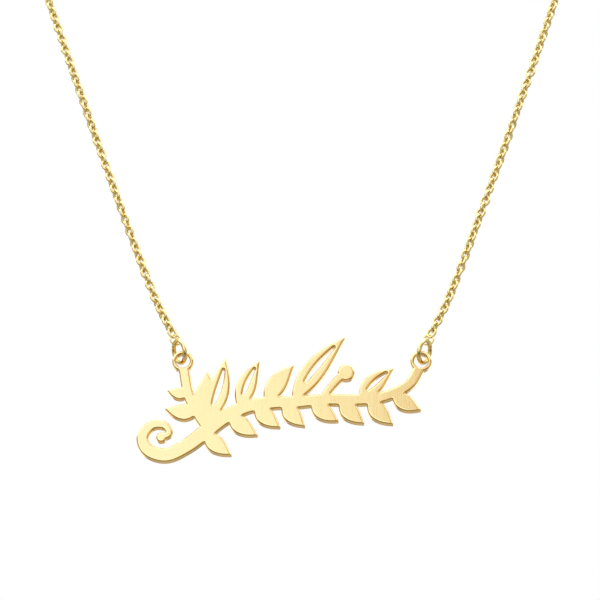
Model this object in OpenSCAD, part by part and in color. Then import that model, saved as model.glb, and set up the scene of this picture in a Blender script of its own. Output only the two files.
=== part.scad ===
/* [Nameplate] */
// Distance between the centres of the two eyelets
eyelet_span = 31.2; // [26:0.1:40]
// Height of the scroll from its lowest curl to its tallest leaf
plate_h = 16.8; // [12:0.1:24]
// Thickness of the plate
plate_t = 1.3; // [0.8:0.05:1.4]
// Width of the vine's stem
stem_w = 1.9; // [1.4:0.05:2.4]
// Width of the broadest leaf
leaf_w = 3.0; // [2.2:0.05:3.6]
// Width of the slit cut through a broad leaf
slit_w = 0.7; // [0.4:0.05:1]
// Diameter of the round buds
bud_d = 2.2; // [1.6:0.05:2.6]
// Width below which a gap between leaves is left closed
least_gap = 0.3; // [0.1:0.05:0.4]
// Outer diameter of an eyelet
eyelet_d = 2.8; // [2.7:0.05:4]
// Diameter of the hole in an eyelet
eyelet_hole_d = 1.8; // [1.75:0.05:2.2]

/* [Jump rings] */
// Outer diameter of a jump ring
ring_d = 3.6; // [3.4:0.05:5]
// Wire diameter of a jump ring
ring_wire = 0.6; // [0.4:0.01:0.62]
// Turn of the ring's plane away from straight through the plate, in degrees
ring_turn = 26; // [0:1:28]
// Outward lean of the ring's top, in degrees
ring_lean = 18; // [0:1:30]

/* [Chain] */
// Width of the cable chain
chain_w = 1.4; // [0.9:0.01:1.5]
// Outer diameter of the round link that ends each chain
end_link_d = 1.7; // [1.6:0.01:2]
// Wire diameter of the end link
end_link_wire = 0.27; // [0.22:0.01:0.3]
// Outward lean of the end link in a jump ring, in degrees
end_link_lean = 24; // [15:1:35]

/* [Clasp] */
// Outer diameter of the clasp's ring
clasp_d = 5.7; // [5:0.1:8]
// Thickness of the clasp's ring
clasp_wire = 1.1; // [0.8:0.05:1.3]
// Outer diameter of the small loop on the clasp
clasp_loop_d = 2.0; // [1.9:0.05:2.6]
// Wire diameter of the small loop
clasp_loop_wire = 0.45; // [0.35:0.01:0.5]
// Length of the thumb nub on the clasp
nub_l = 0.9; // [0.5:0.1:1.5]
// Outer diameter of the ring that the clasp catches
catch_d = 3.45; // [3.4:0.05:5]
// Wire diameter of that ring
catch_wire = 0.55; // [0.4:0.01:0.6]

/* [Fit] */
// Clearance between pieces that hang in each other
gap = 0.1; // [0.08:0.01:0.14]

/* [Hidden] */
plate_gold = "#fbe7a6";
wire_gold = "#e8c870";

// The origin is the nape, at the middle of the clasp. The plate hangs in front and below,
// at the middle between its eyelets.
plate_at = [0, -100, -132];

// Half of the chain's route as [out, back, up] from the nape, hand placed round the neck:
// it starts above a jump ring and ends beside the clasp. The other half mirrors it.
CHAIN_ROUTE = [
    [19.8, -99.5, -122],
    [25.2, -98, -107],
    [30.8, -96, -90.5],
    [36.5, -92, -73],
    [42, -85, -56],
    [46.5, -75, -42],
    [49.5, -62, -30],
    [49.5, -47, -20],
    [45, -32, -12],
    [36.5, -18.5, -6],
    [25, -8, -2],
    [13, -1.5, 0],
];
tube_sides = 8;
rings_per_span = 3;
// A direction that the chain never runs along, to square its rings by
tube_lookout = [0, -1, 1];

// The scroll's tables hold lengths as shares: along, of the eyelets' distance from their
// middle; up, of the scroll's height from the eyelets' level; widths, of stem_w or leaf_w.

// Stem: [along, up, width share], from the curl at the lower left to the right eyelet
STEM = [
    [-0.587, -0.616, 0.50],
    [-0.554, -0.580, 0.50],
    [-0.575, -0.518, 0.56],
    [-0.628, -0.518, 0.68],
    [-0.665, -0.613, 0.82],
    [-0.638, -0.720, 0.92],
    [-0.564, -0.757, 0.99],
    [-0.481, -0.684, 1.04],
    [-0.405, -0.575, 1.08],
    [-0.325, -0.458, 1.04],
    [-0.230, -0.370, 0.95],
    [-0.125, -0.338, 0.88],
    [-0.018, -0.332, 0.84],
    [0.090, -0.312, 0.80],
    [0.199, -0.314, 0.78],
    [0.305, -0.304, 0.75],
    [0.396, -0.250, 0.72],
    [0.458, -0.170, 0.72],
    [0.496, -0.040, 0.74],
];
// Sprig that leaves the stem and rises to the left eyelet, in the same columns
SPRIG = [
    [-0.385, -0.550, 0.84],
    [-0.430, -0.430, 0.80],
    [-0.474, -0.270, 0.76],
    [-0.497, -0.040, 0.74],
];
VINES = [STEM, SPRIG];
// Leaves: [vine, vine point, turn from the vine's run, length share, width share, bend share,
//          slit share], with lengths as shares of plate_h up and of leaf_span sideways
LEAVES = [
    [0, 9.70, 45, 0.41, 0.86, -0.10, 0.8],
    [0, 10.75, 49, 0.37, 0.84, -0.10, 0],
    [0, 11.80, 51, 0.655, 0.98, -0.08, 1],
    [0, 14.40, 43, 0.355, 0.86, -0.10, 0.8],
    [0, 8.0, -80, 0.27, 0.78, 0.10, 0],
    [0, 9.25, -68, 0.27, 0.80, 0.10, 0],
    [0, 10.35, -54, 0.26, 0.80, 0.10, 0],
    [0, 11.45, -50, 0.25, 0.78, 0.10, 0],
    [0, 12.55, -46, 0.26, 0.78, 0.10, 0],
    [0, 13.65, -45, 0.26, 0.80, 0.10, 0],
    [0, 14.75, -52, 0.27, 0.80, 0.10, 0],
    [0, 15.8, -54, 0.25, 0.76, 0.10, 0],
    [1, 0.55, -53, 0.53, 0.98, 0.10, 1],
    [1, 1.10, -44, 0.33, 0.80, 0.10, 0],
    [1, 1.1, 52, 0.25, 0.72, -0.10, 0],
    [1, 2.0, 62, 0.16, 0.54, -0.10, 0],
];
// Buds on stalks: [vine, vine point, turn, length share, bend share]
BUDS = [
    [0, 12.97, 47, 0.285, -0.12],
];
stalk_share = 0.55;
end_bud_share = 0.6;
tip_r = 0.12;
// Below 1, a leaf is fullest nearer its root than its tip
leaf_belly = 0.85;
leaf_steps = 10;
stem_steps = 4;
leaf_span = 0.54 * eyelet_span;
// Sides that stand for a circle in the scroll's outline, and in rings, holes and wire
outline_sides = 48;
round_sides = 64;
// A slit runs between these shares of its leaf
slit_from = 0.30;
slit_to = 0.84;

// The clasp's nub points up and outwards, as wide as this share of the ring's wire
nub_angle = -40;
nub_share = 0.55;

eyelet_x = eyelet_span / 2;
ring_r = (ring_d - ring_wire) / 2;
end_link_r = (end_link_d - end_link_wire) / 2;
clasp_r = (clasp_d - clasp_wire) / 2;
clasp_loop_r = (clasp_loop_d - clasp_loop_wire) / 2;
catch_r = (catch_d - catch_wire) / 2;

// A direction in the plate's plane, leaning outwards from straight up
function leaning(angle) = [sin(angle), 0, cos(angle)];

// Right-hand places at the front, from the eyelets' middle
ring_mid = [eyelet_x, 0, 0] + ring_r * leaning(ring_lean);
ring_top = ring_mid + ring_r * leaning(ring_lean);
front_link_mid = ring_top
    + (end_link_r - ring_wire / 2 - end_link_wire / 2 - gap) * leaning(end_link_lean);
front_link_end = front_link_mid + end_link_r * leaning(end_link_lean);

// Places behind the neck, along X from the nape
catch_x = clasp_r - clasp_wire / 2 - catch_wire / 2 - gap + catch_r;
back_link_right = catch_x + catch_r - catch_wire / 2 - end_link_wire / 2 - gap + end_link_r;
clasp_loop_x = clasp_r + clasp_loop_wire + clasp_loop_r;
back_link_left = clasp_loop_x + clasp_loop_r - clasp_loop_wire / 2 - end_link_wire / 2 - gap
    + end_link_r;

function unit(v) = v / norm(v);
function mirrored(p, s) = [s * p.x, p.y, p.z];

// Point at share t of a smooth curve through b and c, with a before and d after them
function spline(a, b, c, d, t) =
    (2 * b + (c - a) * t + (2 * a - 5 * b + 4 * c - d) * t ^ 2
     + (3 * b - a - 3 * c + d) * t ^ 3) / 2;

// A smooth curve through all points of a list, with the same number of steps in each span
function smooth(points, steps) =
    let (last = len(points) - 1,
         ends = concat([2 * points[0] - points[1]], points,
                       [2 * points[last] - points[last - 1]]))
    [for (i = [0 : last - 1], k = [0 : steps - 1])
        spline(ends[i], ends[i + 1], ends[i + 2], ends[i + 3], k / steps),
     points[last]];

// Sideways unit vector of a flat curve at point i
function side(points, i) =
    let (a = points[max(i - 1, 0)], b = points[min(i + 1, len(points) - 1)],
         d = unit([b.x - a.x, b.y - a.y]))
    [-d.y, d.x];

// A flat ribbon along [x, y, width] points
module ribbon(points) {
    last = len(points) - 1;
    mids = [for (p = points) [p.x, p.y]];
    left = [for (i = [0 : last]) mids[i] + side(points, i) * points[i].z / 2];
    right = [for (i = [last : -1 : 0]) mids[i] - side(points, i) * points[i].z / 2];
    polygon(concat(left, right));
}

// Centre line of a vine, and a vine's point and run at a fractional point number
function vine_line(rows) = [for (row = rows) [row[0] * eyelet_span, row[1] * plate_h]];
function vine_at(rows, s) =
    let (line = vine_line(rows), i = floor(s),
         p = concat([line[0]], line, [line[len(line) - 1]]))
    spline(p[i], p[i + 1], p[i + 2], p[i + 3], s - i);
function vine_run(rows, s) = unit(vine_at(rows, s + 0.05) - vine_at(rows, s - 0.05));
function turned(v, angle) =
    [v.x * cos(angle) - v.y * sin(angle), v.x * sin(angle) + v.y * cos(angle)];

// Point at share t of a leaf's rib, which bends sideways by bend times its length
function rib(root, tip, bend, t) =
    let (run = tip - root, mid = (root + tip) / 2 - bend * [-run.y, run.x])
    (1 - t) ^ 2 * root + 2 * t * (1 - t) * mid + t ^ 2 * tip;

// The points between the two corners of a round end that faces along run
function round_end(middle, run, r) = [for (a = [45, 0, -45]) middle + r * turned(run, a)];

// A leaf: its half width grows and falls as a sine along the rib
module leaf(root, tip, width, bend, from = 0, to = 1) {
    ts = [for (k = [0 : leaf_steps]) from + (to - from) * k / leaf_steps];
    ribs = [for (t = ts) rib(root, tip, bend, t)];
    halves = [for (k = [0 : leaf_steps])
        tip_r + (width / 2 - tip_r) * sin(180 * (k / leaf_steps) ^ leaf_belly)];
    root_run = ribs[1] - ribs[0];
    tip_run = ribs[leaf_steps] - ribs[leaf_steps - 1];
    left = [for (k = [0 : leaf_steps]) ribs[k] + side(ribs, k) * halves[k]];
    right = [for (k = [leaf_steps : -1 : 0]) ribs[k] - side(ribs, k) * halves[k]];
    polygon(concat(left, round_end(ribs[leaf_steps], unit(tip_run), tip_r),
                   right, round_end(ribs[0], -unit(root_run), tip_r)));
}

module vines() {
    for (rows = VINES) {
        points = [for (row = rows) [row[0] * eyelet_span, row[1] * plate_h, row[2] * stem_w]];
        ribbon(smooth(points, stem_steps));
    }
    translate(vine_line(STEM)[0]) circle(d = end_bud_share * bud_d, $fn = outline_sides);
}

function leaf_root(row) = vine_at(VINES[row[0]], row[1]);
function leaf_tip(row) =
    let (reach = row[3] * turned(vine_run(VINES[row[0]], row[1]), row[2]))
    leaf_root(row) + [reach.x * leaf_span, reach.y * plate_h];

module leaves() {
    for (row = LEAVES)
        leaf(leaf_root(row), leaf_tip(row), row[4] * leaf_w, row[5]);
}

module buds() {
    for (row = BUDS) {
        root = leaf_root(row);
        tip = leaf_tip(row);
        ribbon([for (k = [0 : leaf_steps])
            let (p = rib(root, tip, row[4], k / leaf_steps)) [p.x, p.y, stalk_share * stem_w]]);
        translate(tip) circle(d = bud_d, $fn = outline_sides);
    }
}

module slits() {
    for (row = LEAVES)
        if (row[6] > 0)
            leaf(leaf_root(row), leaf_tip(row), row[6] * slit_w, row[5], slit_from, slit_to);
}

// The scroll's outline, with the narrowest gaps between its leaves closed
module scroll_outline() {
    difference() {
        offset(delta = -least_gap / 2) offset(delta = least_gap / 2) {
            vines();
            leaves();
            buds();
            for (s = [-1, 1]) translate([s * eyelet_x, 0]) circle(d = eyelet_d, $fn = outline_sides);
        }
        slits();
    }
}

// The pierced plate, front face towards -Y, with a round hole through each eyelet
module nameplate() {
    color(plate_gold) translate(plate_at) rotate([90, 0, 0]) difference() {
        translate([0, 0, -plate_t / 2]) linear_extrude(plate_t) scroll_outline();
        for (s = [-1, 1])
            translate([s * eyelet_x, 0, -plate_t])
                cylinder(d = eyelet_hole_d, h = 2 * plate_t, $fn = round_sides);
    }
}

// A ring of round wire about the Z axis
module wire_ring(mean_r, wire) {
    rotate_extrude($fn = round_sides) translate([mean_r, 0]) circle(d = wire, $fn = round_sides);
}

// A ring through an eyelet, turned and leaning with the pull of its chain; s is -1 or 1
module jump_ring(s) {
    color(wire_gold) translate(plate_at + mirrored(ring_mid, s))
        rotate([0, s * ring_lean, 0]) rotate([0, 0, -s * ring_turn]) rotate([0, 90, 0])
            wire_ring(ring_r, ring_wire);
}
module jump_ring_left() { jump_ring(-1); }
module jump_ring_right() { jump_ring(1); }

// Rings of points round a path: each is a regular polygon square to the path
function tube_points(path) =
    let (last = len(path) - 1)
    [for (i = [0 : last])
        let (run = unit(path[min(i + 1, last)] - path[max(i - 1, 0)]),
             across = unit(cross(run, tube_lookout)), over = cross(across, run))
        for (k = [0 : tube_sides - 1])
            let (a = 360 * (k + 0.5) / tube_sides)
            path[i] + chain_w / 2 * (cos(a) * across + sin(a) * over)];
function tube_faces(rings) = concat(
    [[for (k = [0 : tube_sides - 1]) k]],
    [for (i = [0 : rings - 2], k = [0 : tube_sides - 1])
        let (a = i * tube_sides, b = a + tube_sides, next = (k + 1) % tube_sides)
        [a + k, b + k, b + next, a + next]],
    [[for (k = [tube_sides - 1 : -1 : 0]) (rings - 1) * tube_sides + k]]);

// Half of the chain as one smooth tube, with the round link at each end that hangs in the
// jump ring and behind the neck
module chain_half(s, back_x) {
    front_end = plate_at + mirrored(front_link_end, s);
    back_end = [s * (back_x + end_link_r), 0, 0];
    path = smooth(concat([front_end], [for (p = CHAIN_ROUTE) [s * p.x, p.y, p.z]], [back_end]),
                  rings_per_span);
    color(wire_gold) {
        polyhedron(tube_points(path), tube_faces(len(path)), convexity = 10);
        translate(plate_at + mirrored(front_link_mid, s))
            rotate([0, s * end_link_lean, 0]) rotate([0, 0, -s * ring_turn]) rotate([90, 0, 0])
                wire_ring(end_link_r, end_link_wire);
        translate([s * back_x, 0, 0]) rotate([90, 0, 0]) wire_ring(end_link_r, end_link_wire);
    }
}
module chain_left() { chain_half(-1, back_link_left); }
module chain_right() { chain_half(1, back_link_right); }

// A closed spring ring seen as one piece: the ring, its small loop and its thumb nub
module clasp() {
    color(wire_gold) {
        rotate([90, 0, 0]) wire_ring(clasp_r, clasp_wire);
        translate([-clasp_loop_x, 0, 0]) wire_ring(clasp_loop_r, clasp_loop_wire);
        rotate([0, nub_angle, 0]) translate([0, 0, clasp_r])
            cylinder(d = nub_share * clasp_wire, h = clasp_wire / 2 + nub_l, $fn = round_sides);
    }
}

// The ring on the other end of the chain, which the clasp catches
module catch_ring() {
    color(wire_gold) translate([catch_x, 0, 0]) wire_ring(catch_r, catch_wire);
}

nameplate();
jump_ring_left();
jump_ring_right();
chain_left();
chain_right();
clasp();
catch_ring();
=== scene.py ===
"""Looks of a pierced nameplate necklace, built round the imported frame.

The plate is a smooth skin with soft edges over the frame's own outline. Each half of the chain
is made of oval cable links along the frame's route. The rings, the clasp and the catch ring
follow the frame's wires. Sizes are in millimetres and meshes are in metres.
"""

import logging
import math
from dataclasses import dataclass
from enum import Enum

import bpy
import numpy as np
from mathutils import Matrix, Vector
from mathutils.geometry import delaunay_2d_cdt

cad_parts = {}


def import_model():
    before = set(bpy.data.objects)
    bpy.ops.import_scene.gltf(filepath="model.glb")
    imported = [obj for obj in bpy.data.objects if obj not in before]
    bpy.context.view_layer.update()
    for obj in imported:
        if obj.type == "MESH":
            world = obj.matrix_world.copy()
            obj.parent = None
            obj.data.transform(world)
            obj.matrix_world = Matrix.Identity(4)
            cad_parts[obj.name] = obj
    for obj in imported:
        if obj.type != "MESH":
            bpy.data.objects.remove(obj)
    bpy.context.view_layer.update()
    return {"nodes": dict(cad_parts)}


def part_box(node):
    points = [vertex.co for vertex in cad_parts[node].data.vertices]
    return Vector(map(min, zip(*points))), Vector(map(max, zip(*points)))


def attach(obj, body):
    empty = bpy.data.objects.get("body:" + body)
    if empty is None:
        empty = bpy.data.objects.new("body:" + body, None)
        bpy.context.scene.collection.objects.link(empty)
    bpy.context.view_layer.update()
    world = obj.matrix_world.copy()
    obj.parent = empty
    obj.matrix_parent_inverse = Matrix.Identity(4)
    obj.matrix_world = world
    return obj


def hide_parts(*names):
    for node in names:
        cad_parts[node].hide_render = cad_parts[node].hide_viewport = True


LOG = logging.getLogger("necklace")
Colour = tuple[float, float, float]
Stop = tuple[float, Colour]
Feed = bpy.types.NodeSocket | float | tuple[float, ...]
MM = 0.001
# Name of the vertex mask of painted shade: 1 where the finish is darkened in place of shade
SHADE = "shade"


class Side(Enum):
    """A side of the necklace, as seen from the front, and its sign along X."""

    LEFT = -1
    RIGHT = 1

    @property
    def word(self) -> str:
        """The side's name in the names of pieces."""
        return self.name.lower()


class Body(Enum):
    """The frame's bodies: what is worn still, and what swings below it."""

    CHAIN = "chain"
    PENDANT = "pendant"


class Slot(Enum):
    """Two material slots, by name."""

    PLATE = "plate_gold"
    WIRE = "wire_gold"


# Arrays and surfaces


def turned(axis: str, degrees: float) -> np.ndarray:
    """Rotation matrix about the X, Y or Z axis."""
    return np.array(Matrix.Rotation(math.radians(degrees), 3, axis))


def leaning(degrees: float) -> np.ndarray:
    """Unit vector in the plate's plane that leans outwards from straight up."""
    return turned("Y", degrees)[:, 2]


def unit(vectors: np.ndarray) -> np.ndarray:
    """Vectors divided by their lengths, along the last axis."""
    return vectors / np.linalg.norm(vectors, axis=-1, keepdims=True)


@dataclass
class Skin:
    """A closed surface as arrays.

    points holds one row per vertex in millimetres, polygons holds arrays of corner numbers,
    one array per corner count, and shade, the mask of painted shade, is 0 on open faces and 1
    where little light gets in.
    """

    points: np.ndarray
    polygons: list[np.ndarray]
    shade: np.ndarray

    def volume(self) -> float:
        """Signed volume: the sum of a sixth of each fan triangle's triple product.

        Returns:
            Cubic millimetres, above 0 where the faces point outwards.
        """
        total = 0.0
        for faces in self.polygons:
            for k in range(1, faces.shape[1] - 1):
                a, b, c = (self.points[faces[:, j]] for j in (0, k, k + 1))
                total += float(np.einsum("ij,ij->", a, np.cross(b, c))) / 6
        return total

    def outward(self) -> "Skin":
        """The same skin with its faces turned to point outwards.

        Returns:
            This skin, or one with each face's corners in the opposite order.
        """
        if self.volume() >= 0:
            return self
        return Skin(self.points, [faces[:, ::-1] for faces in self.polygons], self.shade)

    def placed(self, turn: np.ndarray, at: np.ndarray) -> "Skin":
        """The same skin turned about the origin, then moved."""
        return Skin(self.points @ turn.T + at, self.polygons, self.shade).outward()

    def on_side(self, side: Side) -> "Skin":
        """A right-hand skin as it is, or mirrored across X for the left."""
        return Skin(self.points * [side.value, 1, 1], self.polygons, self.shade).outward()

    @staticmethod
    def joined(skins: list["Skin"]) -> "Skin":
        """Several skins as one, with their corner numbers shifted to match.

        Args:
            skins: the skins to join.

        Returns:
            The joined skin.
        """
        starts = np.cumsum([0] + [len(skin.points) for skin in skins])
        polygons = [faces + start for skin, start in zip(skins, starts) for faces in skin.polygons]
        return Skin(
            np.concatenate([skin.points for skin in skins]),
            polygons,
            np.concatenate([skin.shade for skin in skins]),
        )


def grid_faces(rows: int, columns: int, close_rows: bool = True) -> np.ndarray:
    """Quads of a grid whose columns close round.

    Args:
        rows: number of rows of vertices.
        columns: number of vertices in a row, which closes round.
        close_rows: whether the last row also joins the first.

    Returns:
        Corner numbers, four to a row.
    """
    i, j = np.meshgrid(np.arange(rows if close_rows else rows - 1), np.arange(columns), indexing="ij")
    here, after = i * columns, (i + 1) % rows * columns
    beside = (j + 1) % columns
    return np.stack([here + j, after + j, after + beside, here + beside], axis=-1).reshape(-1, 4)


def wire_loop(
    a: float, b: float, wire_r: float | np.ndarray, angles: np.ndarray, across: int
) -> Skin:
    """A closed wire along an ellipse in the X-Y plane.

    The centre line is (a cos u, b sin u). A point at u and v lies from it by the wire's radius
    times cos v along the ellipse's outward normal and sin v along Z. Painted shade grows with
    -cos v, towards the inside of the loop.

    Args:
        a: half length of the centre line along X.
        b: half length of the centre line along Y.
        wire_r: radius of the wire, one number or one per angle.
        angles: the angles u, in radians, rising through less than a full turn.
        across: number of facets round the wire.

    Returns:
        The wire's skin.
    """
    u, v = np.meshgrid(angles, np.arange(across) * 2 * math.pi / across, indexing="ij")
    radius = np.broadcast_to(np.asarray(wire_r, dtype=float).reshape(-1, 1), u.shape)
    normal = unit(np.stack([np.cos(u) / a, np.sin(u) / b], axis=-1))
    out = radius * np.cos(v)
    points = np.stack(
        [a * np.cos(u) + out * normal[..., 0], b * np.sin(u) + out * normal[..., 1], radius * np.sin(v)],
        axis=-1,
    )
    # Painted shade, darkest on the wire's side that faces into the loop
    shade = 0.5 - 0.5 * np.cos(v)
    return Skin(points.reshape(-1, 3), [grid_faces(len(angles), across)], shade.ravel()).outward()


def lathe(radii: np.ndarray, heights: np.ndarray, around: int) -> Skin:
    """A turned solid about Z: each profile point swings round, and both ends close to a pole.

    Args:
        radii: profile radii between the poles.
        heights: profile heights, with the two poles' heights first and last.
        around: number of facets round the axis.

    Returns:
        The solid's skin.
    """
    angle = np.arange(around) * 2 * math.pi / around
    ring = np.stack([np.cos(angle), np.sin(angle), np.zeros(around)], axis=-1)
    side = radii[:, None, None] * ring + heights[1:-1, None, None] * np.array([0, 0, 1])
    poles = np.array([[0, 0, heights[0]], [0, 0, heights[-1]]])
    points = np.concatenate([side.reshape(-1, 3), poles])
    j = np.arange(around)
    beside, last, low = (j + 1) % around, (len(radii) - 1) * around, len(points) - 2
    caps = np.concatenate(
        [
            np.stack([np.full(around, low), j, beside], axis=-1),
            np.stack([np.full(around, low + 1), last + beside, last + j], axis=-1),
        ]
    )
    faces = [grid_faces(len(radii), around, close_rows=False), caps]
    return Skin(points, faces, np.zeros(len(points))).outward()


def add_piece(
    skin: Skin, name: str, material: bpy.types.Material, body: Body, node: str
) -> None:
    """Puts a skin into the scene as a smooth-shaded piece that stands for a frame node.

    Args:
        skin: the surface, in millimetres.
        name: the piece's name.
        material: its finish.
        body: the frame body that it rides on.
        node: the frame node that it replaces.
    """
    corners = np.concatenate([faces.ravel() for faces in skin.polygons])
    counts = np.concatenate([np.full(len(faces), faces.shape[1]) for faces in skin.polygons])
    mesh = bpy.data.meshes.new(name)
    mesh.vertices.add(len(skin.points))
    mesh.vertices.foreach_set("co", (skin.points * MM).astype(np.float32).ravel())
    mesh.loops.add(len(corners))
    mesh.loops.foreach_set("vertex_index", corners.astype(np.int32))
    mesh.polygons.add(len(counts))
    mesh.polygons.foreach_set("loop_start", (np.cumsum(counts) - counts).astype(np.int32))
    mesh.polygons.foreach_set("use_smooth", np.ones(len(counts), dtype=bool))
    mesh.update(calc_edges=True)
    shade = mesh.attributes.new(SHADE, "FLOAT", "POINT")
    shade.data.foreach_set("value", skin.shade.astype(np.float32))
    mesh.materials.append(material)
    piece = bpy.data.objects.new(name, mesh)
    bpy.context.scene.collection.objects.link(piece)
    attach(piece, body.value)
    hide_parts(node)
    LOG.info("%s: %d faces, %.1f mm3, rides on %s", name, len(counts), skin.volume(), body.value)


# Finishes

# Numbers of a colour mix's sockets: the two colours and the result
MIX_FIRST, MIX_SECOND, MIX_RESULT = 6, 7, 2
# The two sets of hairlines: the turn of their direction in degrees, and their stretch along it
HAIRLINE_SETS = (((0, 24, 0), 0.03), ((70, -31, 12), 0.05))


def add_node(
    tree: bpy.types.NodeTree, kind: str, inputs: dict[str | int, Feed], **options: object
) -> bpy.types.Node:
    """Adds a shader node to a tree.

    Args:
        tree: the node tree.
        kind: the node's type, without the word ShaderNode before it.
        inputs: by socket name or number, the constant set there or the output linked to it.
        options: the node's own settings, which are made before its inputs.

    Returns:
        The new node.
    """
    node = tree.nodes.new(f"ShaderNode{kind}")
    for option, value in options.items():
        setattr(node, option, value)
    for socket, feed in inputs.items():
        if isinstance(feed, bpy.types.NodeSocket):
            tree.links.new(feed, node.inputs[socket])
        else:
            node.inputs[socket].default_value = feed
    return node


def mixed(tree: bpy.types.NodeTree, share: Feed, first: Feed, second: Feed) -> bpy.types.NodeSocket:
    """Mixes two colours.

    Args:
        tree: the node tree.
        share: the second colour's share.
        first: the first colour, with its alpha.
        second: the second colour, with its alpha.

    Returns:
        The mixed colour's output.
    """
    inputs = {"Factor": share, MIX_FIRST: first, MIX_SECOND: second}
    return add_node(tree, "Mix", inputs, data_type="RGBA").outputs[MIX_RESULT]


def wear_group() -> bpy.types.ShaderNodeTree:
    """Builds the node group for polished metal: cloud, ripple and hairline masks.

    Hairlines are the places where a noise stretched along one way crosses its middle value, so
    they are long, thin and uneven. Ripple is a wide low noise, and cloud a wider one.

    Returns:
        The node group, whose outputs run from 0 to 1.
    """
    tree = bpy.data.node_groups.new("polished_metal_wear", "ShaderNodeTree")
    face = tree.interface
    face.new_socket("Vector", in_out="INPUT", socket_type="NodeSocketVector")
    for name in ("Cloud Scale", "Ripple Scale", "Hairline Scale", "Hairline Width"):
        face.new_socket(name, in_out="INPUT", socket_type="NodeSocketFloat")
    for name in ("Cloud", "Ripple", "Hairlines"):
        face.new_socket(name, in_out="OUTPUT", socket_type="NodeSocketFloat")
    given = tree.nodes.new("NodeGroupInput").outputs
    result = tree.nodes.new("NodeGroupOutput").inputs

    def noise(vector: bpy.types.NodeSocket, scale: str, detail: float) -> bpy.types.NodeSocket:
        """A noise texture's value.

        Args:
            vector: where the noise is read.
            scale: the group's input that sets its scale.
            detail: how many finer noises are added to it.

        Returns:
            The noise's output, about 0.5 on average.
        """
        inputs = {"Vector": vector, "Scale": given[scale], "Detail": detail}
        return add_node(tree, "TexNoise", inputs).outputs["Fac"]

    def hairlines(turn: tuple[float, ...], stretch: float) -> bpy.types.NodeSocket:
        """Thin lines along one way.

        Args:
            turn: the turn of the lines' way, in degrees.
            stretch: how fast the noise changes along the lines, as a share of across them.

        Returns:
            A mask, 1 on a line and 0 off it.
        """
        rotation = tuple(math.radians(angle) for angle in turn)
        inputs = {"Vector": given["Vector"], "Rotation": rotation, "Scale": (1, 1, stretch)}
        along = add_node(tree, "Mapping", inputs).outputs["Vector"]
        value = noise(along, "Hairline Scale", 3.0)
        off = add_node(tree, "Math", {0: value, 1: 0.5}, operation="SUBTRACT").outputs[0]
        away = add_node(tree, "Math", {0: off}, operation="ABSOLUTE").outputs[0]
        inputs = {"Value": away, "From Max": given["Hairline Width"], "To Min": 1.0, "To Max": 0.0}
        return add_node(tree, "MapRange", inputs, interpolation_type="SMOOTHSTEP").outputs["Result"]

    tree.links.new(noise(given["Vector"], "Cloud Scale", 2.0), result["Cloud"])
    tree.links.new(noise(given["Vector"], "Ripple Scale", 1.0), result["Ripple"])
    both = {k: hairlines(turn, stretch) for k, (turn, stretch) in enumerate(HAIRLINE_SETS)}
    most = add_node(tree, "Math", both, operation="MAXIMUM").outputs[0]
    tree.links.new(most, result["Hairlines"])
    return tree


@dataclass(frozen=True)
class GoldFinish:
    """A polished yellow gold plating.

    pale and rich are the two tones that the cloud mask drifts between on open faces. The third
    tone is painted shade: a darker, more orange colour that the shade mask mixes in, up to its
    share, on walls, soft edges and the inner sides of wires, in place of shade and of light that
    has met gold more than once. Scales are in features per metre, and heights in metres.
    hairline_rough is how far a hairline carries the roughness from smoothest to roughest.
    """

    name: str
    pale: Colour
    rich: Colour
    painted_shade_tone: Colour
    painted_shade_share: float
    smoothest: float
    roughest: float
    cloud_scale: float
    ripple_scale: float
    ripple_height: float
    hairline_scale: float
    hairline_width: float
    hairline_height: float
    hairline_rough: float = 0.6

    def material(self, wear: bpy.types.ShaderNodeTree) -> bpy.types.Material:
        """Builds the finish.

        Args:
            wear: the shared group of masks.

        Returns:
            A material whose colour, roughness and bump follow the masks, with painted shade in its colour.
        """
        made = bpy.data.materials.new(self.name)
        made.use_nodes = True
        made.diffuse_color = (*self.rich, 1.0)
        tree = made.node_tree
        surface = tree.nodes["Principled BSDF"].inputs
        surface["Metallic"].default_value = 1.0
        place = add_node(tree, "TexCoord", {}).outputs["Object"]
        inputs = {
            "Vector": place,
            "Cloud Scale": self.cloud_scale,
            "Ripple Scale": self.ripple_scale,
            "Hairline Scale": self.hairline_scale,
            "Hairline Width": self.hairline_width,
        }
        masks = add_node(tree, "Group", inputs, node_tree=wear).outputs

        tone = mixed(tree, masks["Cloud"], (*self.pale, 1.0), (*self.rich, 1.0))
        # Painted shade: the shade mask mixes a darker, more orange tone into the colour
        shade = add_node(tree, "Attribute", {}, attribute_name=SHADE).outputs["Fac"]
        inputs = {0: shade, 1: self.painted_shade_share}
        share = add_node(tree, "Math", inputs, operation="MULTIPLY").outputs[0]
        tree.links.new(mixed(tree, share, tone, (*self.painted_shade_tone, 1.0)), surface["Base Color"])

        inputs = {0: masks["Hairlines"], 1: self.hairline_rough, 2: masks["Cloud"]}
        worn = add_node(tree, "Math", inputs, operation="MULTIPLY_ADD").outputs[0]
        inputs = {"Value": worn, "To Min": self.smoothest, "To Max": self.roughest}
        rough = add_node(tree, "MapRange", inputs).outputs["Result"]
        tree.links.new(rough, surface["Roughness"])

        inputs = {"Height": masks["Ripple"], "Strength": 1.0, "Distance": self.ripple_height}
        ripple = add_node(tree, "Bump", inputs).outputs["Normal"]
        inputs = {
            "Height": masks["Hairlines"],
            "Strength": 1.0,
            "Distance": self.hairline_height,
            "Normal": ripple,
        }
        lines = add_node(tree, "Bump", inputs, invert=True).outputs["Normal"]
        tree.links.new(lines, surface["Normal"])
        return made


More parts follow.
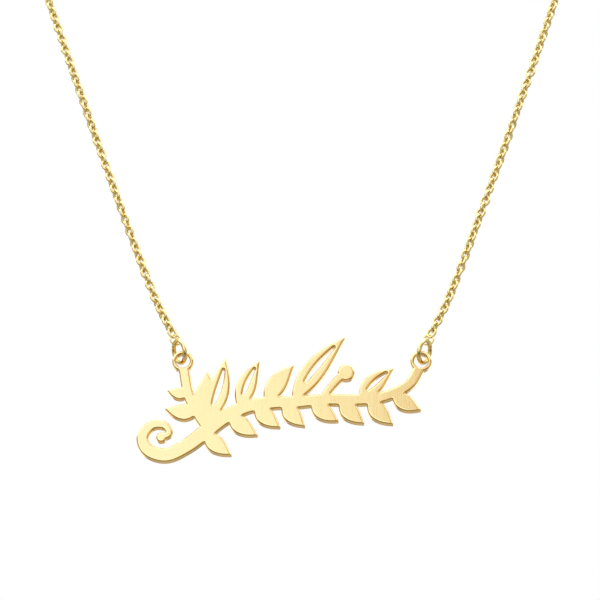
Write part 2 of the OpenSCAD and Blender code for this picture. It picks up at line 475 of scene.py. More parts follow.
PLATE_FINISH = GoldFinish(
    name="polished_plate_gold",
    pale=(0.97, 0.83, 0.475),
    rich=(0.96, 0.79, 0.425),
    # Painted shade tone for the plate's walls and soft edges
    painted_shade_tone=(0.90, 0.58, 0.18),
    painted_shade_share=0.85,
    smoothest=0.13,
    roughest=0.22,
    cloud_scale=140.0,
    ripple_scale=260.0,
    ripple_height=0.000012,
    hairline_scale=900.0,
    hairline_width=0.02,
    hairline_height=0.0000008,
)
WIRE_FINISH = GoldFinish(
    name="drawn_wire_gold",
    pale=(0.98, 0.87, 0.50),
    rich=(0.97, 0.83, 0.42),
    # Painted shade tone for the inner sides of the wires
    painted_shade_tone=(0.74, 0.54, 0.17),
    painted_shade_share=0.8,
    smoothest=0.16,
    roughest=0.30,
    cloud_scale=500.0,
    ripple_scale=900.0,
    ripple_height=0.000006,
    hairline_scale=2400.0,
    hairline_width=0.03,
    hairline_height=0.000001,
)


# The hanging places, from the frame's sizes


@dataclass(frozen=True)
class Wire:
    """A round wire bent to a ring: its outer diameter and its thickness."""

    outer_d: float
    thick: float

    @property
    def mean_r(self) -> float:
        """Radius of the centre line."""
        return (self.outer_d - self.thick) / 2

    @property
    def wire_r(self) -> float:
        """Radius of the wire."""
        return self.thick / 2


PLATE_AT = np.array([0.0, -100.0, -132.0])
EYELET_SPAN = 31.2
RING = Wire(3.6, 0.6)
RING_TURN = 26.0
RING_LEAN = 18.0
END_LINK = Wire(1.7, 0.27)
END_LINK_LEAN = 24.0
CLASP_RING = Wire(5.7, 1.1)
CLASP_LOOP = Wire(2.0, 0.45)
CATCH = Wire(3.45, 0.55)
GAP = 0.1

RING_MID = PLATE_AT + [EYELET_SPAN / 2, 0, 0] + RING.mean_r * leaning(RING_LEAN)
FRONT_LINK_MID = (
    RING_MID
    + RING.mean_r * leaning(RING_LEAN)
    + (END_LINK.mean_r - RING.wire_r - END_LINK.wire_r - GAP) * leaning(END_LINK_LEAN)
)
FRONT_LINK_END = FRONT_LINK_MID + END_LINK.mean_r * leaning(END_LINK_LEAN)
CATCH_X = CLASP_RING.mean_r - CLASP_RING.wire_r - CATCH.wire_r - GAP + CATCH.mean_r
CLASP_LOOP_X = CLASP_RING.mean_r + CLASP_LOOP.thick + CLASP_LOOP.mean_r
BACK_LINK_X = {
    Side.RIGHT: CATCH_X + CATCH.mean_r - CATCH.wire_r - END_LINK.wire_r - GAP + END_LINK.mean_r,
    Side.LEFT: CLASP_LOOP_X + CLASP_LOOP.mean_r - CLASP_LOOP.wire_r - END_LINK.wire_r - GAP
    + END_LINK.mean_r,
}
# Half of the chain's route as out, back and up from the nape, the same as in the frame
CHAIN_ROUTE = np.array(
    [
        [19.8, -99.5, -122],
        [25.2, -98, -107],
        [30.8, -96, -90.5],
        [36.5, -92, -73],
        [42, -85, -56],
        [46.5, -75, -42],
        [49.5, -62, -30],
        [49.5, -47, -20],
        [45, -32, -12],
        [36.5, -18.5, -6],
        [25, -8, -2],
        [13, -1.5, 0],
    ]
)


# Pieces


@dataclass(frozen=True)
class PlateSkin:
    """The pierced plate's skin: the frame's outline made smooth, with soft edges.

    edge_r is how far the edges that polishing leaves reach in from the outline, front_edge and
    back_edge how far they reach down the wall, edge_steps the rings of vertices across them,
    spacing the step along the outline, and corner the turn in degrees past which a corner of
    the outline stays sharp. guard is the step to one more row of vertices on either side of
    the soft edge. A row's vertex is kept where its distance from the whole outline is more than
    least_share of its inset, and only one in each square of side grain. Frame vertices in one
    square of side merge are one point, net_limit is the net's tolerance, and distances are
    worked out for chunk points at a time.
    """

    edge_r: float = 0.27
    front_edge: float = 0.24
    back_edge: float = 0.2
    edge_steps: int = 5
    spacing: float = 0.13
    corner: float = 50.0
    guard: float = 0.03
    least_share: float = 0.6
    grain: float = 0.02
    merge: float = 0.001
    net_limit: float = 1e-6
    chunk: int = 2000

    def outline(self, node: bpy.types.Object) -> list[np.ndarray]:
        """Reads the closed loops that bound the node's front face.

        Args:
            node: the frame's nameplate, as loose triangles.

        Returns:
            Loops of X and Z in millimetres, with the metal on the left seen from the front.
        """
        mesh = node.data
        mesh.calc_loop_triangles()
        flat = np.empty(len(mesh.vertices) * 3, dtype=np.float32)
        mesh.vertices.foreach_get("co", flat)
        points = flat.reshape(-1, 3).astype(float) / MM
        corners = np.empty(len(mesh.loop_triangles) * 3, dtype=np.int32)
        mesh.loop_triangles.foreach_get("vertices", corners)
        keys = np.round(points[:, [0, 2]] / self.merge).astype(np.int64)
        places, merged = np.unique(keys, axis=0, return_inverse=True)
        merged = merged.ravel()
        front = points[:, 1] < points[:, 1].min() + self.merge
        triangles = corners.reshape(-1, 3)
        triangles = merged[triangles[front[triangles].all(axis=1)]]
        edges = np.concatenate([triangles[:, [0, 1]], triangles[:, [1, 2]], triangles[:, [2, 0]]])
        code, reverse = edges @ [len(places), 1], edges[:, ::-1] @ [len(places), 1]
        border = edges[~np.isin(code, reverse)]
        following = dict(border.tolist())
        loops = []
        while following:
            start, after = following.popitem()
            loop = [start]
            while after != start:
                loop.append(after)
                after = following.pop(after)
            loops.append(places[loop] * self.merge)
        return loops

    def smoothed(self, loop: np.ndarray) -> np.ndarray:
        """Runs a smooth curve through a loop's points, and keeps its sharp corners.

        Each side becomes a cubic whose end directions are the neighbouring sides' directions,
        weighted by the other side's length. At a sharp corner the direction is the one that
        lets the curve end without bending.

        Args:
            loop: the loop's points.

        Returns:
            More points on the curve, no further apart than the spacing.
        """
        side = np.roll(loop, -1, axis=0) - loop
        length = np.linalg.norm(side, axis=1)
        ahead = side / length[:, None]
        behind = np.roll(ahead, 1, axis=0)
        before = np.roll(length, 1)
        mean = unit(before[:, None] * ahead + length[:, None] * behind)
        sharp = np.einsum("ij,ij->i", ahead, behind) < math.cos(math.radians(self.corner))
        free_out = unit(1.5 * ahead - 0.5 * np.roll(mean, -1, axis=0))
        free_in = unit(1.5 * behind - 0.5 * np.roll(mean, 1, axis=0))
        leave = np.where(sharp[:, None], free_out, mean)
        arrive = np.roll(np.where(sharp[:, None], free_in, mean), -1, axis=0)
        count = np.ceil(length / self.spacing).astype(int)
        which = np.repeat(np.arange(len(loop)), count)
        first = np.cumsum(count) - count
        t = ((np.arange(len(which)) - first[which]) / count[which])[:, None]
        a, b = loop[which], np.roll(loop, -1, axis=0)[which]
        from_a, to_b = (leave * length[:, None])[which], (arrive * length[:, None])[which]
        return (
            (2 * t**3 - 3 * t**2 + 1) * a
            + (t**3 - 2 * t**2 + t) * from_a
            + (3 * t**2 - 2 * t**3) * b
            + (t**3 - t**2) * to_b
        )

    def distance(self, points: np.ndarray, starts: np.ndarray, ends: np.ndarray) -> np.ndarray:
        """Least distance of each point from the outline.

        A side's nearest place to a point is at the point's share of the way along it, held
        between 0 and 1.

        Args:
            points: the points.
            starts: where the outline's sides start.
            ends: where they end.

        Returns:
            The distances.
        """
        run = ends - starts
        square = np.einsum("ij,ij->i", run, run)
        found = []
        for low in range(0, len(points), self.chunk):
            off = points[low : low + self.chunk, None] - starts
            share = np.clip(np.einsum("pij,ij->pi", off, run) / square, 0, 1)
            away = off - share[..., None] * run
            found.append(np.sqrt(np.einsum("pij,pij->pi", away, away).min(axis=1)))
        return np.concatenate(found)

    def inside(self, points: np.ndarray, starts: np.ndarray, ends: np.ndarray) -> np.ndarray:
        """Whether each point lies in the metal: a ray along X crosses an odd count of sides.

        Args:
            points: the points.
            starts: where the outline's sides start.
            ends: where they end.

        Returns:
            True for each point in the metal.
        """
        rise = ends[:, 1] - starts[:, 1]
        slope = (ends[:, 0] - starts[:, 0]) / np.where(rise == 0, 1, rise)
        found = []
        for low in range(0, len(points), self.chunk):
            x, z = points[low : low + self.chunk, :1], points[low : low + self.chunk, 1:]
            level = (starts[:, 1] > z) != (ends[:, 1] > z)
            right = x < starts[:, 0] + (z - starts[:, 1]) * slope
            found.append((level & right).sum(axis=1) % 2 == 1)
        return np.concatenate(found)

    def skin(self, loops: list[np.ndarray], thick: float, middle_y: float) -> Skin:
        """Makes the plate's closed skin.

        The front sheet is a triangle net over the outline and over rings of points inset from
        it. With u for the distance from the outline as a share of edge_r, its height is half
        the thickness, less front_edge times (1 - the square root of 1 - (1 - u) squared). The
        back mirrors it with back_edge, and a wall of quads joins the two.

        Args:
            loops: the smooth outline's loops.
            thick: the plate's thickness.
            middle_y: where the plate's middle lies along Y.

        Returns:
            The skin, with painted shade 1 on the walls, fading in over the soft edges, and none on
            the open faces.
        """
        starts = np.concatenate(loops)
        sizes = [len(loop) for loop in loops]
        first = np.repeat(np.cumsum(sizes) - sizes, sizes)
        number = np.arange(len(starts)) - first
        nexts = first + (number + 1) % np.repeat(sizes, sizes)
        ends = starts[nexts]
        run = unit(ends - starts)
        inward = np.stack([-run[:, 1], run[:, 0]], axis=-1)
        before = np.empty_like(inward)
        before[nexts] = inward
        inward = unit(inward + before)
        steps = 1 - np.cos(np.arange(1, self.edge_steps + 1) * math.pi / 2 / self.edge_steps)
        depths = np.append(steps * self.edge_r, self.edge_r + self.guard)
        inset = (starts + depths[:, None, None] * inward).reshape(-1, 2)
        wanted = np.repeat(depths, len(starts))
        inset = inset[self.distance(inset, starts, ends) > self.least_share * wanted]
        inset = inset[np.unique(np.round(inset / self.grain), axis=0, return_index=True)[1]]
        given = np.concatenate([starts, inset])
        net = delaunay_2d_cdt(
            [Vector(point) for point in given],
            np.stack([np.arange(len(starts)), nexts], axis=-1).tolist(),
            [],
            1,
            self.net_limit,
        )
        flat = np.array(net[0])
        sheet = np.array(net[2])
        sheet = sheet[self.inside(flat[sheet].mean(axis=1), starts, ends)]
        place = np.empty(len(given), dtype=int)
        for new, olds in enumerate(net[3]):
            place[olds] = new
        used, sheet_used = np.unique(sheet, return_inverse=True)
        renumbered = np.full(len(flat), -1)
        renumbered[used] = np.arange(len(used))
        sheet = sheet_used.reshape(-1, 3)
        flat = flat[used]
        rim, rim_next = renumbered[place[: len(starts)]], renumbered[place[nexts]]
        depth = np.minimum(self.distance(flat, starts, ends), self.edge_r)
        depth[rim] = 0
        fall = 1 - np.sqrt(1 - (1 - depth / self.edge_r) ** 2)
        front_y = middle_y - thick / 2 + self.front_edge * fall
        back_y = middle_y + thick / 2 - self.back_edge * fall
        front = np.stack([flat[:, 0], front_y, flat[:, 1]], axis=-1)
        back = np.stack([flat[:, 0], back_y, flat[:, 1]], axis=-1)
        wall_y = thick / 2 - np.array([self.front_edge, self.back_edge]) - self.guard
        wall = np.stack(
            [
                np.tile(starts[:, 0], 2),
                np.repeat(middle_y + wall_y * [-1, 1], len(starts)),
                np.tile(starts[:, 1], 2),
            ],
            axis=-1,
        )
        total, here = len(flat), 2 * len(flat) + np.arange(len(starts))
        rows = [(rim, rim_next), (here, 2 * total + nexts)]
        rows += [(here + len(starts), 2 * total + len(starts) + nexts), (rim + total, rim_next + total)]
        quads = [
            np.stack([upper[0], lower[0], lower[1], upper[1]], axis=-1)
            for upper, lower in zip(rows, rows[1:])
        ]
        # Painted shade, fading in across the soft edges towards the walls
        edge = (1 - depth / self.edge_r) ** 2
        shade = np.concatenate([edge, edge, np.ones(len(wall))])
        faces = [sheet, sheet[:, ::-1] + total, np.concatenate(quads)]
        return Skin(np.concatenate([front, back, wall]), faces, shade)

    def build(self, node: bpy.types.Object, material: bpy.types.Material) -> None:
        """Makes the plate from the frame's node and dresses it.

        Args:
            node: the frame's nameplate.
            material: its finish.
        """
        low, high = (np.array(corner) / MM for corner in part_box("nameplate"))
        loops = [self.smoothed(loop) for loop in self.outline(node)]
        skin = self.skin(loops, high[1] - low[1], (low[1] + high[1]) / 2)
        add_piece(skin, "pierced_plate", material, Body.PENDANT, "nameplate")


@dataclass(frozen=True)
class RingWire:
    """A ring of round wire, closed by a butt joint that shows as a faint groove.

    joint_at is the groove's place round the ring in degrees, joint_w its width, joint_deep its
    depth and joint_fall how fast it fades. joint_steps facets cover joint_reach widths to
    either side of it.
    """

    size: Wire
    joint_at: float = 130.0
    joint_w: float = 0.05
    joint_deep: float = 0.035
    joint_fall: float = 4.0
    joint_reach: float = 2.0
    joint_steps: int = 12
    around: int = 120
    across: int = 24

    def skin(self) -> Skin:
        """The ring about Z, with a groove at its joint.

        With d the distance from the joint in its widths, the wire's radius dips by joint_deep
        times e to the power of -joint_fall times d squared.

        Returns:
            The ring's skin.
        """
        middle = math.radians(self.joint_at)
        widths = np.linspace(-self.joint_reach, self.joint_reach, self.joint_steps + 1)
        near = middle + widths * self.joint_w / self.size.mean_r
        apart = 2 * math.pi - (near[-1] - near[0])
        rest = near[-1] + np.arange(1, self.around) * apart / self.around
        angles = np.concatenate([near, rest])
        off = (angles - middle) * self.size.mean_r / self.joint_w
        radius = self.size.wire_r - self.joint_deep * np.exp(-self.joint_fall * off**2)
        return wire_loop(self.size.mean_r, self.size.mean_r, radius, angles, self.across)


@dataclass(frozen=True)
class JumpRing:
    """A jump ring through its eyelet, turned and leaning as in the frame."""

    wire: RingWire = RingWire(RING)

    def build(self, side: Side, material: bpy.types.Material) -> None:
        """Makes the ring and dresses it.

        Args:
            side: the side that it hangs on.
            material: its finish.
        """
        turn = turned("Y", RING_LEAN) @ turned("Z", -RING_TURN) @ turned("Y", 90)
        skin = self.wire.skin().placed(turn, RING_MID).on_side(side)
        node = f"jump_ring_{side.word}"
        add_piece(skin, f"{side.word}_jump_ring", material, Body.PENDANT, node)


@dataclass(frozen=True)
class CableChain:
    """Half of the chain: oval links along the route, between two round end links.

    Each link is an oval of round wire, a quarter turn on from the last one. Seen from the
    front they lie rest_roll degrees to either side of the view, as a worn cable chain settles,
    where front is the way to the viewer. Past front_run millimetres, where the chain turns
    back over the shoulder, they keep their roll. settle is the run over which the first links
    turn from their end link's roll. Along the chain the roll sways by sway degrees over every
    sway_length, and each link rolls by up to jitter degrees and leans in its own plane by up
    to tilt degrees.
    """

    link_l: float = 1.75
    link_w: float = 1.4
    wire: float = 0.41
    around: int = 12
    across: int = 6
    samples_per_span: int = 40
    end: RingWire = RingWire(END_LINK, joint_w=0.03, joint_deep=0.02, around=48, across=12)
    front: tuple[float, float, float] = (0.0, -0.96, -0.29)
    off_run: tuple[float, float, float] = (0.0, -1.0, 1.0)
    run_reach: float = 0.3
    front_run: float = 80.0
    rest_roll: float = 45.0
    settle: float = 1.5
    sway: float = 17.0
    sway_length: float = 19.0
    jitter: float = 7.0
    tilt: float = 5.0
    seed: int = 11

    def curve(self, side: Side) -> tuple[np.ndarray, np.ndarray]:
        """The right-hand route as a smooth curve through its points.

        Between points b and c the curve is the cubic through them whose slopes follow the
        chords a to c and b to d.

        Args:
            side: the half whose back end is used.

        Returns:
            Points on the curve, and their distances along it.
        """
        back = [BACK_LINK_X[side] + END_LINK.mean_r, 0, 0]
        through = np.vstack([FRONT_LINK_END, CHAIN_ROUTE, back])
        through = np.vstack([2 * through[0] - through[1], through, 2 * through[-1] - through[-2]])
        a, b, c, d = (through[k : len(through) - 3 + k, None] for k in range(4))
        t = (np.arange(self.samples_per_span) / self.samples_per_span)[:, None]
        spans = (
            2 * b
            + (c - a) * t
            + (2 * a - 5 * b + 4 * c - d) * t**2
            + (3 * b - a - 3 * c + d) * t**3
        ) / 2
        points = np.vstack([spans.reshape(-1, 3), through[-2]])
        return points, np.append(0, np.cumsum(np.linalg.norm(np.diff(points, axis=0), axis=1)))

    def frames(self, at: np.ndarray, points: np.ndarray, along: np.ndarray) -> tuple[np.ndarray, ...]:
        """Places and directions on the curve.

        The run is the way from run_reach before a place to run_reach past it. Across is square
        to it and to off_run, which the chain never follows.

        Args:
            at: distances along the curve.
            points: the curve's points.
            along: their distances.

        Returns:
            Places, unit runs, and two unit vectors square to each run: outwards and across.
        """
        place, ahead, behind = (
            np.stack([np.interp(at + step, along, points[:, k]) for k in range(3)], axis=-1)
            for step in (0, self.run_reach, -self.run_reach)
        )
        run = unit(ahead - behind)
        across = unit(np.cross(run, self.off_run))
        return place, run, np.cross(across, run), across

    def skin(self, side: Side) -> Skin:
        """All links of one half, made on the right and mirrored for the left.

        Args:
            side: the half.

        Returns:
            The half's skin.
        """
        points, along = self.curve(side)
        wire_r = self.wire / 2
        half = (self.link_l - self.wire) / 2
        inset = half - END_LINK.wire_r - wire_r
        span = along[-1] - 2 * inset
        steps = round(span / (self.link_l - 2 * self.wire))
        # An odd number of steps leaves the last link square to the end link behind the neck
        steps += 1 - steps % 2
        number = np.arange(steps + 1)
        at = inset + number * span / steps
        place, run, outwards, across = self.frames(at, points, along)
        first_turn = turned("Y", END_LINK_LEAN) @ turned("Z", -RING_TURN) @ turned("X", 90)
        end_normal = first_turn[:, 2]
        end_roll = math.degrees(math.atan2(end_normal @ across[0], end_normal @ outwards[0]))
        to_front = np.degrees(np.arctan2(across @ self.front, outwards @ self.front))
        settled = to_front[np.minimum(number, np.searchsorted(at, self.front_run))] - self.rest_roll
        # The first link is square to its end link, and the next ones turn to their settled roll
        start_twist = (end_roll - settled[0] + 90) % 180 - 90
        random = np.random.default_rng(self.seed + side.value)
        roll = settled + 90 * number + start_twist * np.exp(-(at - inset) / self.settle)
        fade = np.clip(np.minimum(at, along[-1] - at) / (2 * self.settle), 0, 1)
        roll += fade * self.sway * np.sin(2 * math.pi * at / self.sway_length + side.value)
        roll += fade * random.uniform(-self.jitter, self.jitter, len(at))
        angle = np.radians(roll)[:, None]
        normal = np.cos(angle) * outwards + np.sin(angle) * across
        width = np.cross(normal, run)
        lean = np.radians(fade * random.uniform(-self.tilt, self.tilt, len(at)))[:, None]
        run, width = np.cos(lean) * run + np.sin(lean) * width, np.cos(lean) * width - np.sin(lean) * run
        angles = np.arange(self.around) * 2 * math.pi / self.around
        link = wire_loop(half, (self.link_w - self.wire) / 2, wire_r, angles, self.across)
        axes = np.stack([run, width, normal], axis=1)
        links = np.einsum("pk,nkj->npj", link.points, axes) + place[:, None]
        shift = number[:, None, None] * len(link.points)
        faces = (link.polygons[0] + shift).reshape(-1, 4)
        chain = Skin(links.reshape(-1, 3), [faces], np.tile(link.shade, steps + 1))
        end = self.end.skin()
        front_end = end.placed(first_turn, FRONT_LINK_MID)
        back_end = end.placed(turned("X", 90), np.array([BACK_LINK_X[side], 0, 0]))
        LOG.info("%s half: %d oval links over %.1f mm", side.word, steps + 1, along[-1])
        return Skin.joined([chain.outward(), front_end, back_end]).on_side(side)

    def build(self, side: Side, material: bpy.types.Material) -> None:
        """Makes half of the chain and dresses it."""
        name = f"{side.word}_cable_chain"
        add_piece(self.skin(side), name, material, Body.CHAIN, f"chain_{side.word}")


@dataclass(frozen=True)
class SpringClasp:
    """The clasp behind the neck: a tube ring with a thinner tongue, a loop and a thumb nub.

    The tongue runs through the catch ring, between two angles of the clasp's ring, and its
    shoulders are step_w long. The nub starts sunk in the ring, at that share of its wire's
    radius. stem_share and under_share are the radii of the stem and of the head's underside as
    shares of nub_d, and head_share is the head's height as a share of nub_l. collar_h is the
    height of the collar's side and of the flare under the head, and brim_h that of the whole
    collar and of the head's rim. The dome is drawn up to dome_to degrees.
    """

    loop: RingWire = RingWire(CLASP_LOOP, joint_at=0, around=64, across=16)
    tongue_wire: float = 0.8
    tongue_from: float = -38.0
    tongue_to: float = 46.0
    tongue_steps: int = 21
    step_w: float = 0.02
    around: int = 132
    across: int = 28
    nub_angle: float = -40.0
    nub_d: float = 0.6
    nub_l: float = 0.9
    nub_around: int = 24
    sunk: float = 0.6
    stem_share: float = 0.36
    under_share: float = 0.47
    head_share: float = 0.62
    collar_h: float = 0.05
    brim_h: float = 0.12
    dome_to: float = 80.0
    dome_steps: int = 6

    def ring(self) -> Skin:
        """The ring in the X-Z plane: its wire's radius steps down along the tongue.

        Returns:
            The ring's skin.
        """
        size = CLASP_RING
        first, last = math.radians(self.tongue_from), math.radians(self.tongue_to)
        step = self.step_w / size.mean_r
        shoulders = np.array([-3, -1, -0.4, 0.4, 1, 3]) * step
        tongue = np.linspace(first, last, self.tongue_steps + 1)[1:-1]
        tube = np.linspace(last, first + 2 * math.pi, self.around)[1:-1]
        angles = np.sort(np.concatenate([first + shoulders, tongue, last + shoulders, tube]))
        on = np.clip((angles - first) / step + 0.5, 0, 1) * np.clip((last - angles) / step + 0.5, 0, 1)
        radius = size.wire_r - (size.thick - self.tongue_wire) / 2 * on
        ring = wire_loop(size.mean_r, size.mean_r, radius, angles, self.across)
        return ring.placed(turned("X", 90), np.zeros(3))

    def nub(self) -> Skin:
        """The thumb nub: a stem on a collar, under a domed head.

        The dome is a quarter of an ellipse that closes to a pole. The collar's low end lies in
        the ring's wire.

        Returns:
            The nub's skin.
        """
        stem, head, under_r = self.stem_share * self.nub_d, self.nub_d / 2, self.under_share * self.nub_d
        low = CLASP_RING.mean_r + self.sunk * CLASP_RING.wire_r
        seat = CLASP_RING.mean_r + CLASP_RING.wire_r
        top = seat + self.nub_l
        under = top - self.head_share * self.nub_l
        brim = under + self.brim_h
        bend = np.radians(np.linspace(0, self.dome_to, self.dome_steps + 1))
        radii = np.concatenate([[head, head, stem, stem, under_r], head * np.cos(bend)])
        rise = [low, seat + self.collar_h, seat + self.brim_h, under - self.collar_h, under]
        heights = np.concatenate([[low], rise, brim + (top - brim) * np.sin(bend), [top]])
        nub = lathe(radii, heights, self.nub_around)
        return nub.placed(turned("Y", self.nub_angle), np.zeros(3))

    def build(self, material: bpy.types.Material) -> None:
        """Makes the clasp and dresses it.

        Args:
            material: its finish.
        """
        loop = self.loop.skin().placed(np.eye(3), np.array([-CLASP_LOOP_X, 0, 0]))
        skin = Skin.joined([self.ring(), loop, self.nub()])
        add_piece(skin, "spring_clasp", material, Body.CHAIN, "clasp")


@dataclass(frozen=True)
class CatchRing:
    """The ring on the right half of the chain, which the clasp holds."""

    wire: RingWire = RingWire(CATCH, joint_at=70)

    def build(self, material: bpy.types.Material) -> None:
        """Makes the ring and dresses it."""
        skin = self.wire.skin().placed(np.eye(3), np.array([CATCH_X, 0, 0]))
        add_piece(skin, "catch_ring_wire", material, Body.CHAIN, "catch_ring")


# Studio


@dataclass(frozen=True)
class SoftBox:
    """A square or oblong soft light: its centre, where it points, its size and its radiance."""

    name: str
    centre: tuple[float, float, float]
    aim: tuple[float, float, float]
    size: tuple[float, float]
    radiance: float
    colour: Colour

    @property
    def power(self) -> float:
        """Power that gives the box its radiance over its whole area."""
        return self.radiance * math.pi * self.size[0] * self.size[1]


@dataclass(frozen=True)
class Studio:
    """A pale floor far below, a white surround, soft lights and the camera.

    The camera looks up at the plate from below the plate's own normal, by view_rise degrees.
    view_distance and frame_centre, which is out and up from the plate, are in millimetres, and
    the floor's sizes in metres. The floor fades to white from fade_from to floor_half.
    """

    view_rise: float = 17.0
    view_distance: float = 480.0
    lens: float = 219.7
    sensor: float = 36.0
    frame_centre: tuple[float, float] = (-0.25, 8.127)
    floor_z: float = -0.62
    floor_half: float = 6.0
    fade_from: float = 3.0
    floor_colour: Colour = (0.86, 0.86, 0.85)
    floor_roughness: float = 0.8

    def add_camera(self) -> None:
        """Adds the camera, whose frame is centred a little above and left of the plate."""
        rise = math.radians(self.view_rise)
        look = Vector((0, math.cos(rise), math.sin(rise)))
        up = Vector((0, -math.sin(rise), math.cos(rise)))
        target = Vector(PLATE_AT) + Vector((self.frame_centre[0], 0, 0)) + up * self.frame_centre[1]
        data = bpy.data.cameras.new("camera")
        data.lens = self.lens
        data.sensor_width = self.sensor
        data.clip_start = 0.01
        camera = bpy.data.objects.new("camera", data)
        camera.location = (target - look * self.view_distance) * MM
        camera.rotation_euler = look.to_track_quat("-Z", "Y").to_euler()
        bpy.context.scene.collection.objects.link(camera)
        bpy.context.scene.camera = camera

    def add_floor(self) -> None:
        """Adds the pale floor, a matt sheet that fades to the surround's white far out."""
        h, z = self.floor_half, self.floor_z
        mesh = bpy.data.meshes.new("floor")
        mesh.from_pydata([(-h, -h, z), (h, -h, z), (h, h, z), (-h, h, z)], [], [(0, 1, 2, 3)])
        material = bpy.data.materials.new("floor_paper")
        material.use_nodes = True
        tree = material.node_tree
        paper = tree.nodes["Principled BSDF"]
        paper.inputs["Base Color"].default_value = (*self.floor_colour, 1)
        paper.inputs["Roughness"].default_value = self.floor_roughness
        place = add_node(tree, "TexCoord", {}).outputs["Object"]
        away = add_node(tree, "VectorMath", {0: place}, operation="LENGTH").outputs["Value"]
        inputs = {"Value": away, "From Min": self.fade_from, "From Max": self.floor_half}
        fade = add_node(tree, "MapRange", inputs, interpolation_type="SMOOTHSTEP").outputs["Result"]
        white = add_node(tree, "Emission", {}).outputs[0]
        faded = add_node(tree, "MixShader", {0: fade, 1: paper.outputs[0], 2: white}).outputs[0]
        tree.links.new(faded, tree.nodes["Material Output"].inputs["Surface"])
        mesh.materials.append(material)
        floor = bpy.data.objects.new("floor", mesh)
        bpy.context.scene.collection.objects.link(floor)
        floor.visible_glossy = False

    def add_surround(self) -> None:
        """Adds the surround: white to the camera, and toned where metal mirrors it.

        In the metal its top is bright, and its front is pale gold near the horizon and dark
        lower down.
        """
        world = bpy.data.worlds.new("surround")
        bpy.context.scene.world = world
        world.use_nodes = True
        tree = world.node_tree
        tree.nodes.clear()
        place = add_node(tree, "TexCoord", {}).outputs["Generated"]
        parts = add_node(tree, "SeparateXYZ", {0: place}).outputs

        def ramp(part: str, stops: list[Stop]) -> bpy.types.NodeSocket:
            """A colour ramp over one part of the direction.

            Args:
                part: the part's name, X, Y or Z, which runs from -1 to 1.
                stops: the ramp's places, from 0 to 1, and colours.

            Returns:
                The ramp's colour.
            """
            share = add_node(tree, "MapRange", {"Value": parts[part], "From Min": -1.0})
            node = add_node(tree, "ValToRGB", {"Fac": share.outputs["Result"]})
            for k, (at, colour) in enumerate(stops):
                stop = node.color_ramp.elements[k] if k < 2 else node.color_ramp.elements.new(at)
                stop.position = at
                stop.color = (*colour, 1)
            return node.outputs["Color"]

        side = mixed(tree, ramp("Y", FRONT_TO_BACK), ramp("Z", FRONT_BY_HEIGHT), ramp("Z", BACK_BY_HEIGHT))
        mirrored = add_node(tree, "Background", {"Color": side}).outputs[0]
        seen = add_node(tree, "Background", {"Color": (1, 1, 1, 1)}).outputs[0]
        camera = add_node(tree, "LightPath", {}).outputs["Is Camera Ray"]
        choice = add_node(tree, "MixShader", {0: camera, 1: mirrored, 2: seen}).outputs[0]
        add_node(tree, "OutputWorld", {"Surface": choice})

    def add_light(self, box: SoftBox) -> None:
        """Adds a soft box that is itself out of the camera's sight.

        Args:
            box: the soft box.
        """
        data = bpy.data.lights.new(box.name, "AREA")
        data.shape = "RECTANGLE"
        data.size, data.size_y = box.size
        data.energy = box.power
        data.color = box.colour
        light = bpy.data.objects.new(box.name, data)
        light.location = box.centre
        light.rotation_euler = Vector(box.aim).to_track_quat("-Z", "Y").to_euler()
        light.visible_camera = False
        bpy.context.scene.collection.objects.link(light)

    def build(self) -> None:
        """Sets up the whole studio."""
        self.add_camera()
        self.add_floor()
        self.add_surround()
        for box in SOFT_BOXES:
            self.add_light(box)
        bpy.context.scene.view_settings.view_transform = "Standard"


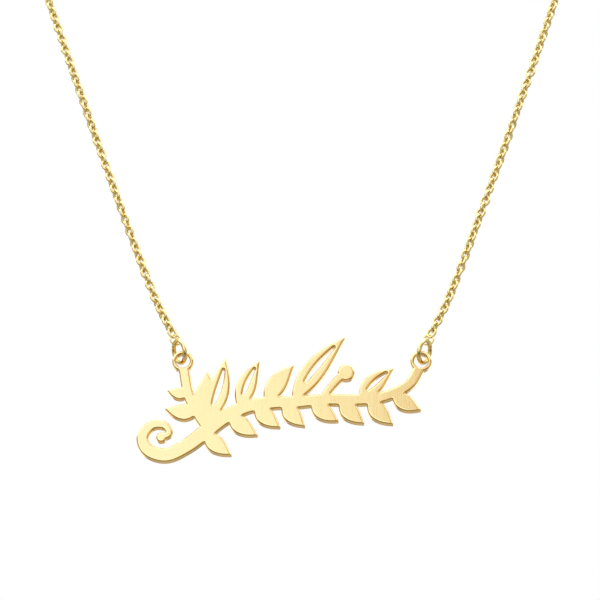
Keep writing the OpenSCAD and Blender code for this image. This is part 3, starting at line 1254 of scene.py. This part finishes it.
# Ramps over a direction's Y or Z, from -1 at 0 to 1 at 1: front to back, and by height
FRONT_TO_BACK = [(0.36, (0, 0, 0)), (0.56, (1, 1, 1))]
FRONT_BY_HEIGHT = [
    (0.0, (0.50, 0.45, 0.36)),
    (0.10, (0.44, 0.38, 0.24)),
    (0.20, (0.10, 0.07, 0.02)),
    (0.28, (0.12, 0.09, 0.03)),
    (0.34, (0.62, 0.56, 0.40)),
    (0.52, (0.62, 0.56, 0.40)),
    (0.61, (0.31, 0.27, 0.17)),
    (0.67, (0.32, 0.29, 0.20)),
    (0.80, (0.95, 0.95, 0.95)),
]
BACK_BY_HEIGHT = [
    (0.0, (0.50, 0.46, 0.38)),
    (0.20, (0.68, 0.64, 0.56)),
    (0.35, (0.68, 0.64, 0.56)),
    (0.46, (0.30, 0.28, 0.21)),
    (0.60, (0.58, 0.56, 0.48)),
    (0.78, (1.0, 1.0, 1.0)),
]
# The three front boxes stand side by side, and the plate's face mirrors where they meet
FRONT = (0.0, 1.0, -0.3)
SOFT_BOXES = (
    SoftBox("front_box_left", (-0.2955, -0.68, -0.03), FRONT, (0.569, 0.52), 0.96, (0.73, 0.89, 1.0)),
    SoftBox("front_box_mid", (0.0105, -0.68, -0.03), FRONT, (0.043, 0.52), 0.91, (0.92, 0.98, 1.0)),
    SoftBox("front_box_right", (0.219, -0.68, -0.03), FRONT, (0.374, 0.52), 0.33, (1.0, 0.36, 0.0)),
    SoftBox("back_box", (0.0, 0.68, 0.12), (0, -1, -0.2), (1.2, 0.6), 0.85, (1.0, 0.96, 0.84)),
    SoftBox("top_box", (0.0, -0.15, 0.60), (0, 0, -1), (0.8, 0.6), 1.6, (1.0, 1.0, 1.0)),
    SoftBox("left_box", (-0.72, -0.30, 0.44), (1, 0.2, -0.7), (0.5, 0.5), 1.5, (1.0, 1.0, 1.0)),
    SoftBox("right_box", (0.72, -0.30, 0.44), (-1, 0.2, -0.7), (0.5, 0.5), 1.3, (1.0, 1.0, 1.0)),
)


def main() -> None:
    """Builds the studio and every piece in order."""
    logging.basicConfig(level=logging.INFO, format="%(message)s")
    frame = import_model()
    Studio().build()
    wear = wear_group()
    plate_gold = PLATE_FINISH.material(wear)
    wire_gold = WIRE_FINISH.material(wear)
    PlateSkin().build(frame["nodes"]["nameplate"], plate_gold)
    for side in Side:
        JumpRing().build(side, wire_gold)
        CableChain().build(side, wire_gold)
    SpringClasp().build(wire_gold)
    CatchRing().build(wire_gold)


if __name__ == "__main__":
    main()
